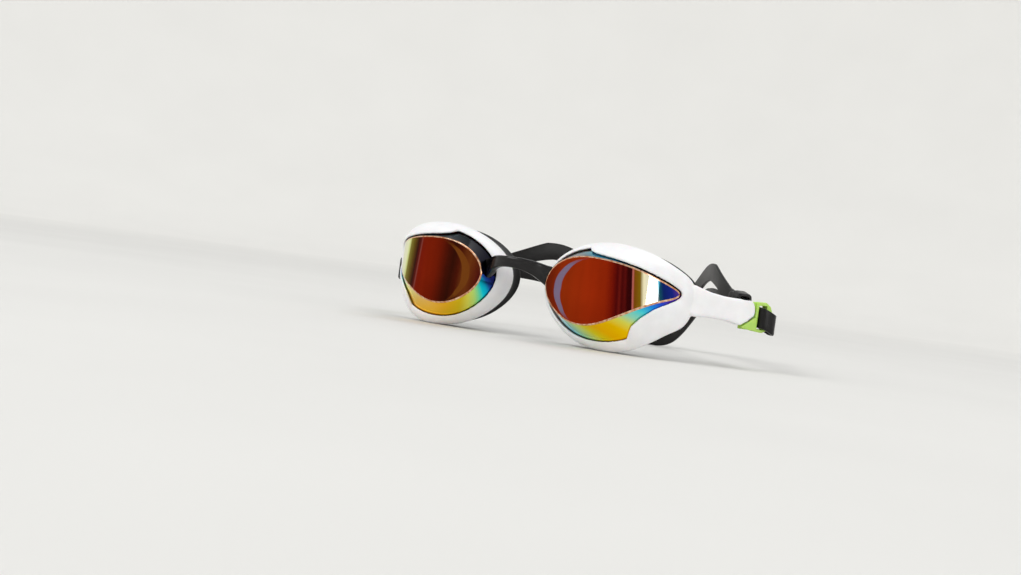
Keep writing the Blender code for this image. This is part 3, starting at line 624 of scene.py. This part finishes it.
def makeLens():
    turn = evenAngles(lensShape["steps"])
    toward = outward(turn)
    rear = rim["thickness"] - lensShape["recess"]
    flange = rear - lensShape["flangeThickness"]
    arris = [faceLoop(turn, lensShape["edgeWidth"]), faceLoop(turn, lensShape["edgeWidth"] * 0.45),
             (faceLoop(turn, 0.1) + bevelLoop(turn, 0.025)) / 2, bevelLoop(turn, 0.05)]
    slope = [bevelLoop(turn, t, -bevel["hollow"] * 4 * t * (1 - t))
             for t in np.linspace(0.05, 1, 9)]
    innerFoot = bevelLoop(turn) - toward * face["wall"] + (0, face["wall"] / 2, 0)
    innerShare = shareAt(turn) * 0.88 + 0.045
    squeeze = 1 - 2 * face["wall"] / face["height"] - 0.5 * shareAt(turn) ** 6
    middle = (faceEdge(turn) + faceEdge(-turn)) / 2
    innerFace = stack(*facePlan(innerShare, face["wall"]),
                      middle + (faceEdge(turn) - middle) * squeeze)
    hidden = [slope[-1], rearLoop(turn, 0, flange),
              rearLoop(turn, lensShape["flangeReach"], flange),
              rearLoop(turn, lensShape["flangeReach"], rear), rearLoop(turn, -face["wall"], rear),
              innerFoot, innerFace]
    points, faces, corners, bands = [], [], [], []

    def addRings(loops, band):
        new, uv = ringFaces(len(points), len(turn), len(loops), closed=False)
        points.extend(np.concatenate(loops))
        faces.extend(new)
        corners.extend(uv)
        bands.extend([band] * len(new))

    def addCap(loop, band, rows):
        start = len(points)
        points.extend(loop)
        inner, new, uv = capFaces(loop, start, len(points), rows)
        points.extend(inner)
        faces.extend(new)
        corners.extend(uv)
        bands.extend([band] * len(new))

    addCap(arris[0], 0, 24)
    addRings(arris, 1)
    addRings(slope, 2)
    addRings(hidden, 3)
    addCap(hidden[-1], 3, 4)
    piece = meshPiece("leftLens", points, faces, corners, bands)
    for kind in ("leftFace", "edge", "leftBevel", "inside"):
        piece.data.materials.append(materials[kind])
    mapCrescent(piece)
    smoothShade(piece, 24)
    return piece


leftLens = makeLens()
rightLens = mirrored(leftLens, "rightLens")
rightLens.data.materials[0] = materials["rightFace"]
rightLens.data.materials[2] = materials["rightBevel"]
for side, piece in (("left", leftLens), ("right", rightLens)):
    settle(piece, side + "_eye", "lens", side + "_lens")
print("lenses made")


# Frame: its ring drawn fine, joined with the CAD arm and re-skinned

frameShape = {
    "steps": 300,
    "cornerRoom": 0.012,       # radians left free on each side of the hood's corners
    "voxel": 0.3,
    "smoothing": 8,
    "land": 0.8,
    "draft": 0.5,
}


def makeFrame():
    corners = [angleAt(row[0]) for row in hoodTop[:3]]
    corners += [2 * np.pi - angleAt(row[0]) for row in hoodBottom[:3]]
    plain = [a for a in evenAngles(frameShape["steps"])
             if min(abs(a - c) for c in corners) > frameShape["cornerRoom"]]
    turn = np.array(sorted(plain + corners))
    share = shareAt(turn)
    bare = np.where(np.sin(turn) >= 0, np.interp(share, *np.array(hoodTop).T),
                    np.interp(share, *np.array(hoodBottom).T))
    gap = face["clearance"]
    lip = rim["lip"] + (rim["hood"] - rim["lip"]) * (1 - bare)
    front, edge = bevelLoop(turn, bare, gap + lip), rimLoop(turn)
    bulge = rim["crown"] * outward(turn) - (0, rim["crown"], 0)
    side = [front + (edge - front) * t + bulge * math.sin(math.pi * t) ** 0.8
            for t in np.linspace(0, 1, 8)]
    bore = gap + lensShape["flangeReach"] + gap
    step = rim["thickness"] - lensShape["recess"] - lensShape["flangeThickness"] - gap
    back = edge - outward(turn) * frameShape["draft"] + (0, rim["thickness"], 0)
    loops = [bevelLoop(turn, bare, gap), *side, edge + (0, frameShape["land"], 0), back,
             rearLoop(turn, bore, rim["thickness"]), rearLoop(turn, bore, step),
             rearLoop(turn, gap, step), bevelLoop(turn, 1.0, gap * 1.05)]
    faces, _ = ringFaces(0, len(turn), len(loops), closed=True)
    ring = meshPiece("leftFrame", np.concatenate(loops), faces)
    copy = nodeCopy("left_frame", "leftFrameArm")
    selectOnly(ring)
    copy.select_set(True)
    bpy.ops.object.join()
    moulded(ring, frameShape["voxel"], frameShape["smoothing"])
    ring.data.materials.clear()
    ring.data.materials.append(materials["frame"])
    return ring


leftFrame = makeFrame()
for side, piece in (("left", leftFrame), ("right", mirrored(leftFrame, "rightFrame"))):
    settle(piece, side + "_eye", "frame", side + "_frame")
print("frames made")


# Seal

sealShape = {"steps": 96, "depth": 7.6, "thickness": 1.5}


def makeSeal():
    turn = evenAngles(sealShape["steps"])
    depth, wall = sealShape["depth"], sealShape["thickness"]
    base = rim["thickness"] + face["clearance"]
    edge = rearLoop(turn, 2 * face["clearance"] + lensShape["flangeReach"], base)
    back = rimLoop(turn) - outward(turn) * frameShape["draft"] + (0, base, 0)
    temple = (shareAt(turn) ** 4)[:, None]
    seat = back + (edge - back) * (0.3 + 0.7 * temple)
    rows = [(-0.6, 2.6), (-0.5, depth - 2.2), (0.5, depth - 0.6), (0.2, depth),
            (-1.7, depth - 0.9), (-0.5 - wall, depth - 2.6), (-0.6 - wall, 2.2), (-1.0 - wall, 0.0)]
    loops = [seat, seat + (0, 0.15, 0), seat + (0, 1.3, 0)]
    loops += [edge + outward(turn) * out + (0, behind, 0) for out, behind in rows]
    faces, _ = ringFaces(0, len(turn), len(loops), closed=True)
    piece = meshPiece("leftSeal", np.concatenate(loops), faces)
    useModifier(piece, "SUBSURF", levels=2, render_levels=2)
    selectOnly(piece)
    bpy.ops.object.shade_smooth()
    piece.data.materials.append(materials["seal"])
    return piece


leftSeal = makeSeal()
for side, piece in (("left", leftSeal), ("right", mirrored(leftSeal, "rightSeal"))):
    settle(piece, side + "_eye", "seal", side + "_seal")
print("seals made")


# Nose bridge

bridgeShape = {
    "thickness": 2.8,
    "reach": 4.0,
    "squareness": 0.55,        # 1 is an ellipse, 0 a box
    "clearance": 0.4,
    "peg": 1.2,
    "pegLength": 0.9,
    "pegLevel": 3.4,
}


def smoothPath(points, spacing):
    # points a spacing apart on a smooth open curve through the given ones
    p = np.array(points, dtype=float)
    p = np.vstack([2 * p[0] - p[1], p, 2 * p[-1] - p[-2]])
    fine = []
    for a, b, c, d in zip(p, p[1:], p[2:], p[3:]):
        for t in np.linspace(0, 1, 24, endpoint=False):
            fine.append(b + 0.5 * ((c - a) * t + (2 * a - 5 * b + 4 * c - d) * t ** 2
                                   + (3 * b - a - 3 * c + d) * t ** 3))
    fine = np.array(fine + [p[-2]])
    run = np.append(0, np.cumsum(np.linalg.norm(np.diff(fine, axis=0), axis=1)))
    where = np.linspace(0, run[-1], max(2, round(run[-1] / spacing)) + 1)
    return np.stack([np.interp(where, run, fine[:, k]) for k in range(p.shape[1])], axis=1), where


wallFront, wallFoot = faceLoop(np.array([0.0]))[0], bevelLoop(np.array([0.0]))[0]
flexPlace = (wallFront + wallFoot) / 2


def makeBridge():
    endX, endY = flexPlace[:2]
    reach, thick = bridgeShape["reach"], bridgeShape["thickness"]
    rows = [   # plan place, upper edge, lower edge, thickness
        (0.0, -reach, 9.3, 5.0, thick),
        (endX * 0.34, -reach + 1.0, 9.2, 4.6, thick),
        (endX * 0.63, endY - 4.3, 8.8, 3.2, thick),
        (endX * 0.84, endY - 1.5, 8.1, 1.1, thick + 0.1),
        (endX * 1.03, endY + 0.1, 7.5, -0.7, thick + 0.2),
        (endX * 1.30, endY + 0.9, 7.0, -1.6, thick),
    ]
    rows = [(-row[0], *row[1:]) for row in rows[:0:-1]] + rows
    path, _ = smoothPath(rows, 0.4)
    heading = np.gradient(path[:, :2], axis=0)
    heading /= np.linalg.norm(heading, axis=1, keepdims=True)
    turn, power = evenAngles(56), bridgeShape["squareness"]
    across = np.sign(np.cos(turn)) * np.abs(np.cos(turn)) ** power
    up = np.sign(np.sin(turn)) * np.abs(np.sin(turn)) ** power
    loops = [stack(x - runY * across * deep / 2, y + runX * across * deep / 2,
                   (high + low) / 2 + up * (high - low) / 2)
             for (x, y, high, low, deep), (runX, runY) in zip(path, heading)]
    faces, _ = ringFaces(0, len(turn), len(loops), closed=False)
    faces.append(tuple(range(len(turn)))[::-1])
    faces.append(tuple(range((len(loops) - 1) * len(turn), len(loops) * len(turn))))
    piece = meshPiece("noseBridge", np.concatenate(loops), faces)
    for side, sign in sides:
        turn = evenAngles(160)
        around = [bevelLoop(turn, 0.0, bridgeShape["clearance"]),
                  bevelLoop(turn, 1.0, bridgeShape["clearance"]),
                  rearLoop(turn, bridgeShape["clearance"], 0.0)]
        points = list(np.concatenate(around))
        shell, _ = ringFaces(0, len(turn), len(around), closed=False)
        for row in (0, 2):
            inner, cap, _ = capFaces(around[row], row * len(turn), len(points), 2)
            points += inner
            shell += cap
        cutter = meshPiece(side + "LensRoom", points, shell, side=sign)
        useModifier(piece, "BOOLEAN", operation="DIFFERENCE", object=cutter)
        bpy.data.objects.remove(cutter)
        stud = pegShape(side + "Stud", bridgeShape["peg"], -thick / 2 - bridgeShape["clearance"],
                        bridgeShape["pegLength"], sign)
        useModifier(piece, "BOOLEAN", operation="UNION", object=stud)
        bpy.data.objects.remove(stud)
    smoothShade(piece, 40)
    piece.data.materials.clear()
    piece.data.materials.append(materials["bridge"])
    return piece


def pegShape(name, radius, start, end, sign):
    # a round stud square to the lens wall
    along = (wallFoot - wallFront)[:2] / np.linalg.norm((wallFoot - wallFront)[:2])
    square = np.array([along[1], -along[0]])
    turn = evenAngles(32)
    loops = []
    for level in (start, end):
        x = flexPlace[0] + along[0] * radius * np.cos(turn) + square[0] * level
        y = flexPlace[1] + along[1] * radius * np.cos(turn) + square[1] * level
        loops.append(stack(x, y, bridgeShape["pegLevel"] + radius * np.sin(turn)))
    faces, _ = ringFaces(0, len(turn), 2, closed=False)
    faces.append(tuple(range(len(turn)))[::-1])
    faces.append(tuple(range(len(turn), 2 * len(turn))))
    return meshPiece(name, np.concatenate(loops), faces, side=sign)


noseBridge = makeBridge()
settle(noseBridge, "bridge", "bridge", "nose_bridge")
for side, sign in sides:
    piece = {"left": leftLens, "right": rightLens}[side]
    socket = pegShape(side + "Socket", bridgeShape["peg"] + bridgeShape["clearance"], -3.0,
                      bridgeShape["pegLength"] + bridgeShape["clearance"], sign)
    useModifier(piece, "BOOLEAN", operation="DIFFERENCE", object=socket)
    bpy.data.objects.remove(socket)
print("bridge made")


# Clips, pins and keepers, from the CAD shapes with moulded edges

clipShape = {"voxel": 0.16, "smoothing": 5}
keeperShape = {"voxel": 0.2, "smoothing": 4}

for side, sign in sides:
    clip = nodeCopy(side + "_clip", side + "Clip")
    moulded(clip, clipShape["voxel"], clipShape["smoothing"])
    clip.data.materials.clear()
    clip.data.materials.append(materials["clip"])
    settle(clip, side + "_clip", "clip", side + "_clip")
    keeper = nodeCopy(side + "_strap_keeper", side + "Keeper")
    moulded(keeper, keeperShape["voxel"], keeperShape["smoothing"])
    keeper.data.materials.clear()
    keeper.data.materials.append(materials["strap"])
    settle(keeper, side + "_keeper", "keeper", side + "_strap_keeper")
    pin = nodeCopy(side + "_clip_pin", side + "Pin")
    useModifier(pin, "BEVEL", width=0.12 * mm, segments=2, limit_method="ANGLE")
    smoothShade(pin)
    pin.data.materials.clear()
    pin.data.materials.append(materials["pin"])
    settle(pin, side + "_eye", "pin", side + "_clip_pin")
print("clips, keepers and pins made")


# Strap: its route follows the clips, as in the CAD model

strapShape = {
    "width": 8.0,
    "thickness": 1.3,
    "bandWidth": 7.6,          # each of the two bands at the back
    "bandSpacing": 3.2,
    "back": 130.0,             # behind the faces
    "tail": 40.0,
    "tipRound": 3.0,           # radius of the free end
    "keeperPlace": 23.0,
    "straightRun": 50.0,
    "rise": 0.2,
    "runTurn": 136.0,          # degrees
    "droop": (0.0, 0.0, 0.15, 0.55, 1.4, 2.1, 2.45, 2.5, 2.2),     # round the clip's bar
    "edgeRound": 0.4,
    "relaxing": 14.0,
    "spacing": 0.7,            # between cross-sections
}
arm = {"turn": 56.0, "length": 34.5, "slot": 3.7, "bar": 2.5, "level": -1.2}
armRoot = np.array(facePlan(1.0, -0.7))
armTurn = math.radians(arm["turn"])
slotStart = arm["length"] + 0.45 + 1.3
clipEnd = slotStart + arm["slot"] + arm["bar"]
limbSpacing = strapShape["thickness"] + 0.45


def armPoint(along, inward, up):
    return (armRoot[0] + along * math.cos(armTurn) - inward * math.sin(armTurn),
            armRoot[1] + along * math.sin(armTurn) + inward * math.cos(armTurn), up)


runTurn = math.radians(strapShape["runTurn"])
runStart = np.array(armPoint(clipEnd + 1.15, 6.0, 0)[:2])
runDirection = np.array([math.cos(runTurn), math.sin(runTurn)])
runInward = np.array([-runDirection[1], runDirection[0]])


def onRun(along, inward=0.0):
    place = runStart + runDirection * along + runInward * inward
    return (*place, arm["level"] - 1.4 + strapShape["rise"] * along)


def strapRoute():
    thick, level = strapShape["thickness"], arm["level"]
    slot = slotStart + 0.25 + thick / 2
    outer = -0.3 - thick / 2
    far = clipEnd + 1.35 + thick / 2
    tail = [onRun(along, limbSpacing) for along in np.arange(strapShape["tail"] - 6.0, 15.0, -6.0)]
    tail += [(*armPoint(slot + 1.6, 9.5, 0)[:2], level + 0.9),
             armPoint(slot + 0.1, 4.4, level + 0.3)]
    wrap = [(slot, 2.0), (slot + 0.05, 0.6), (slot + 0.55, -0.5), (slot + 1.75, outer),
            (slot + 3.9, outer - 0.05), (far - 1.65, outer + 0.4), (far - 0.35, outer + 1.65),
            (far, 2.6), (far - 0.3, 4.4)]
    wrap = [armPoint(along, inward, level - droop)
            for (along, inward), droop in zip(wrap, strapShape["droop"])]
    run = [onRun(along) for along in (0.0, 8.0, 17.0, 26.0, strapShape["straightRun"])]
    low = -zero[2] + strapShape["bandWidth"] + strapShape["bandSpacing"] / 2
    endX, endY = onRun(strapShape["straightRun"])[:2]
    deep = strapShape["back"] - endY
    back = [(endX * 0.80, endY + deep * 0.30, 9.6), (endX * 0.62, endY + deep * 0.60, 5.0),
            (endX * 0.42, endY + deep * 0.83, -4.6), (endX * 0.22, endY + deep * 0.96, low),
            (endX * 0.08, strapShape["back"] - 0.3, low), (0.0, strapShape["back"], low)]
    return smoothPath(tail + wrap + run + back, strapShape["spacing"])


def strapPiece(name, path, toBack, heading, tipFirst):
    # two bands side by side, joined until the slit opens, with rounded long edges
    thick, radius = strapShape["thickness"], strapShape["edgeRound"]
    tip = strapShape["tipRound"]
    backWidth = 2 * strapShape["bandWidth"] + strapShape["bandSpacing"]
    width = np.interp(toBack, [62, 84], [backWidth, strapShape["width"]])
    split = np.interp(toBack, [58, 72], [strapShape["bandSpacing"], 0.0])
    opened = toBack < 72
    inset = [radius * (1 - math.cos(t)) for t in np.linspace(0, math.pi / 2, 4)]
    thin = [1 - 2 * radius / thick * (1 - math.sin(t)) for t in np.linspace(0, math.pi / 2, 4)]
    points = []
    for i, place in enumerate(path):
        half, gap = width[i] / 2, split[i] / 2
        end = 1.0
        if tipFirst:
            # the free end is cut round
            fromTip = min(np.linalg.norm(path[i] - path[0]), tip)
            half = half - tip + math.sqrt(max(tip ** 2 - (tip - fromTip) ** 2, 0.0))
            end = min(1.0, 0.35 + fromTip)
        low = max(-half, -zero[2] - place[2])
        across = np.array([-heading[i][1], heading[i][0], 0.0]) * thick / 2 * end
        ease = min(gap / 0.4, 1.0) if opened[i] else 0.0
        lower = [(low + step, t) for step, t in zip(inset, thin)]
        lower += [(-gap - step * ease, 1 - (1 - t) * ease)
                  for step, t in zip(inset[::-1], thin[::-1])]
        upper = [(gap + step * ease, 1 - (1 - t) * ease) for step, t in zip(inset, thin)]
        upper += [(half - step, t) for step, t in zip(inset[::-1], thin[::-1])]
        if ease == 0.0:
            # whole width: the middle rows spread evenly
            for n in range(4):
                lower[4 + n] = (low + (half - low) * (0.3 + 0.06 * n), 1.0)
                upper[n] = (low + (half - low) * (0.52 + 0.06 * n), 1.0)
        for level, t in lower + upper:
            points += [place + across * t + (0, 0, level), place - across * t + (0, 0, level)]
    rows = 16
    faces = []

    def at(column, row, side):
        return column * rows * 2 + row * 2 + side

    for i in range(len(path) - 1):
        bothOpen = opened[i] and opened[i + 1]
        for row in range(rows - 1):
            if row == rows // 2 - 1 and bothOpen:
                continue
            for side in (0, 1):
                faces.append((at(i, row, side), at(i + 1, row, side),
                              at(i + 1, row + 1, side), at(i, row + 1, side)))
        for row in (0, rows - 1) + ((rows // 2 - 1, rows // 2) if bothOpen else ()):
            faces.append((at(i, row, 0), at(i, row, 1), at(i + 1, row, 1), at(i + 1, row, 0)))
    for i in range(1, len(path)):
        if opened[i] != opened[i - 1]:
            column, row = (i if opened[i] else i - 1), rows // 2 - 1
            faces.append((at(column, row, 0), at(column, row, 1),
                          at(column, row + 1, 1), at(column, row + 1, 0)))
    for column in (0, len(path) - 1):
        for row in range(rows - 1):
            if row == rows // 2 - 1 and opened[column]:
                continue
            faces.append((at(column, row, 0), at(column, row, 1),
                          at(column, row + 1, 1), at(column, row + 1, 0)))
    piece = meshPiece(name, points, faces)
    smoothShade(piece, 50)
    piece.data.materials.append(materials["strap"])
    return piece


def relaxed(path, toBack):
    # a moving average rounds the strap's turns behind the keepers
    whole = np.vstack([path, path[-2::-1] * (-1, 1, 1)])
    reach = int(strapShape["relaxing"] / strapShape["spacing"])
    weights = np.hanning(2 * reach + 3)[1:-1]
    weights /= weights.sum()
    eased = np.stack([np.convolve(axis, weights, "same") for axis in whole.T], axis=1)
    share = np.clip((85.0 - toBack) / 20.0, 0.0, 1.0)[:, None]
    return path * (1 - share) + eased[:len(path)] * share


def makeStrap():
    path, run = strapRoute()
    toBack = run[-1] - run
    path = relaxed(path, toBack)
    heading = np.gradient(path[:, :2], axis=0)
    heading /= np.linalg.norm(heading, axis=1, keepdims=True)
    heading[-1] = (-1.0, 0.0)
    target = np.array(onRun(strapShape["keeperPlace"]))
    afterWrap = np.argmax(run > strapShape["tail"] + 20)
    split = afterWrap + int(np.argmin(np.linalg.norm(path[afterWrap:] - target, axis=1)))
    end = strapPiece("leftStrapEnd", path[:split + 1], toBack[:split + 1],
                     heading[:split + 1], True)
    band = strapPiece("leftStrapBand", path[split:], toBack[split:], heading[split:], False)
    return end, band


def world(point):
    return Vector(np.array(point) + zero) * mm


leftEnd, leftBand = makeStrap()
pieces = {"left": (leftEnd, leftBand),
          "right": (mirrored(leftEnd, "rightStrapEnd"), mirrored(leftBand, "rightStrapBand"))}
for side, sign in sides:
    flip = Vector((sign, 1, 1))
    end, band = pieces[side]
    world(onRun(1.0)) * flip
    world(onRun(strapShape["keeperPlace"] - 4.0)) * flip
    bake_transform(end)
    world(onRun(strapShape["straightRun"] + 4.0)) * flip
    world((10.0, strapShape["back"] - 2.0, 0.0)) * flip
    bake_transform(band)
    for piece in (end, band):
        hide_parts("strap")
print("strap made")


# Floor, lights and camera

studio = {
    "floor": "#DCDBD8",
    "lighter": "#DFDEDB",
    "flat": 1.7,               # metres, as are the next four
    "corner": 0.9,
    "wall": 1.2,
    "glowFrom": 0.5,
    "glowTo": 2.1,
    "wallGlow": 0.29,
    "key": 15.0,
    "fill": 7.0,
    "side": 3.0,
    "sky": 0.64,
}


def makeFloor():
    # flat round the goggles, then turned up into a wall all round
    bpy.ops.object.select_all(action="DESELECT")
    bpy.ops.mesh.primitive_circle_add(vertices=96, radius=studio["flat"], fill_type="NGON")
    floor = bpy.context.object
    floor.name = "floor"
    bpy.ops.object.mode_set(mode="EDIT")
    bpy.ops.mesh.select_all(action="SELECT")
    bpy.ops.mesh.region_to_loop()
    radius, steps = studio["flat"], 12
    for i in range(steps + 1):
        turn = math.pi / 2 * min(i + 1, steps) / steps
        wider = studio["flat"] + studio["corner"] * math.sin(turn)
        rise = studio["corner"] * (math.cos(turn - math.pi / 2 / steps) - math.cos(turn))
        if i == steps:
            rise = studio["wall"]
        bpy.ops.mesh.extrude_region_move(TRANSFORM_OT_translate={"value": (0, 0, rise)})
        bpy.ops.transform.resize(value=(wider / radius, wider / radius, 1),
                                 center_override=(0, 0, 0))
        radius = wider
    bpy.ops.object.mode_set(mode="OBJECT")
    bpy.ops.object.shade_smooth()
    material, tree, shader = newMaterial("paintedFloor", Roughness=0.85)
    object3d = addNode(tree, "ShaderNodeTexCoord")
    mottle = addNode(tree, "ShaderNodeTexNoise", {"Vector": object3d.outputs["Object"],
                                                  "Scale": 6.0, "Detail": 2.0})
    ramp = addNode(tree, "ShaderNodeValToRGB", {"Fac": mottle.outputs["Fac"]},
                   stops=[(0.3, studio["floor"]), (0.7, studio["lighter"])])
    wire(tree, shader, "Base Color", ramp.outputs["Color"])
    # the far floor and the wall glow a little, to keep the backdrop even
    away = addNode(tree, "ShaderNodeVectorMath", {"Vector": object3d.outputs["Object"]},
                   operation="LENGTH")
    glow = addNode(tree, "ShaderNodeMapRange", {"Value": away.outputs["Value"],
                                                "From Min": studio["glowFrom"],
                                                "From Max": studio["glowTo"],
                                                "To Max": studio["wallGlow"]},
                   interpolation_type="SMOOTHSTEP")
    shader.inputs["Emission Color"].default_value = colour(studio["floor"])
    wire(tree, shader, "Emission Strength", glow.outputs["Result"])
    floor.data.materials.append(material)


def addLight(name, azimuth, distance, height, width, tall, power):
    # azimuth from the front, positive towards the wearer's left
    turn = math.radians(azimuth)
    place = Vector((math.sin(turn) * distance, -math.cos(turn) * distance, height))
    bpy.ops.object.light_add(type="AREA", location=place)
    light = bpy.context.object
    light.name = name
    light.data.shape = "RECTANGLE"
    light.data.size, light.data.size_y = width, tall
    light.data.energy = power
    light.rotation_euler = (Vector((0, 0, 0.02)) - place).to_track_quat("-Z", "Y").to_euler()


makeFloor()
addLight("keySoftbox", -25, 1.5, 1.35, 1.2, 1.0, studio["key"])
addLight("topSoftbox", 150, 0.7, 1.5, 1.2, 1.2, studio["fill"])
addLight("sideSoftbox", 77, 1.3, 0.22, 0.36, 0.7, studio["side"])
world = bpy.data.worlds.new("studio")
world.use_nodes = True
world.node_tree.nodes["Background"].inputs["Color"].default_value = colour("#F4F6F8")
world.node_tree.nodes["Background"].inputs["Strength"].default_value = studio["sky"]
bpy.context.scene.world = world

view = {
    "azimuth": 30.43,          # degrees from the front towards the wearer's left
    "elevation": 0.69,
    "roll": 7.82,
    "distance": 0.6057,        # metres
    "lens": 54.77,
    "shift": (-0.002, -0.0068),
}
azimuth, elevation, roll = [math.radians(view[k]) for k in ("azimuth", "elevation", "roll")]
back = Vector((math.sin(azimuth) * math.cos(elevation), -math.cos(azimuth) * math.cos(elevation),
               math.sin(elevation)))
across = Vector((math.cos(azimuth), math.sin(azimuth), 0))
upward = back.cross(across)
turned = across * math.cos(roll) + upward * math.sin(roll)
raised = upward * math.cos(roll) - across * math.sin(roll)
bpy.ops.object.camera_add()
camera = bpy.context.object
camera.matrix_world = Matrix.Translation(Vector(zero) * mm + back * view["distance"]) @ Matrix(
    (turned, raised, back)).transposed().to_4x4()
camera.data.lens = view["lens"]
camera.data.sensor_width = 36
camera.data.shift_x, camera.data.shift_y = view["shift"]
camera.data.clip_start, camera.data.clip_end = 0.01, 20
bpy.context.scene.camera = camera
bpy.context.scene.view_settings.view_transform = "Standard"
print("floor, lights and camera set")

bpy.context.view_layer.update()
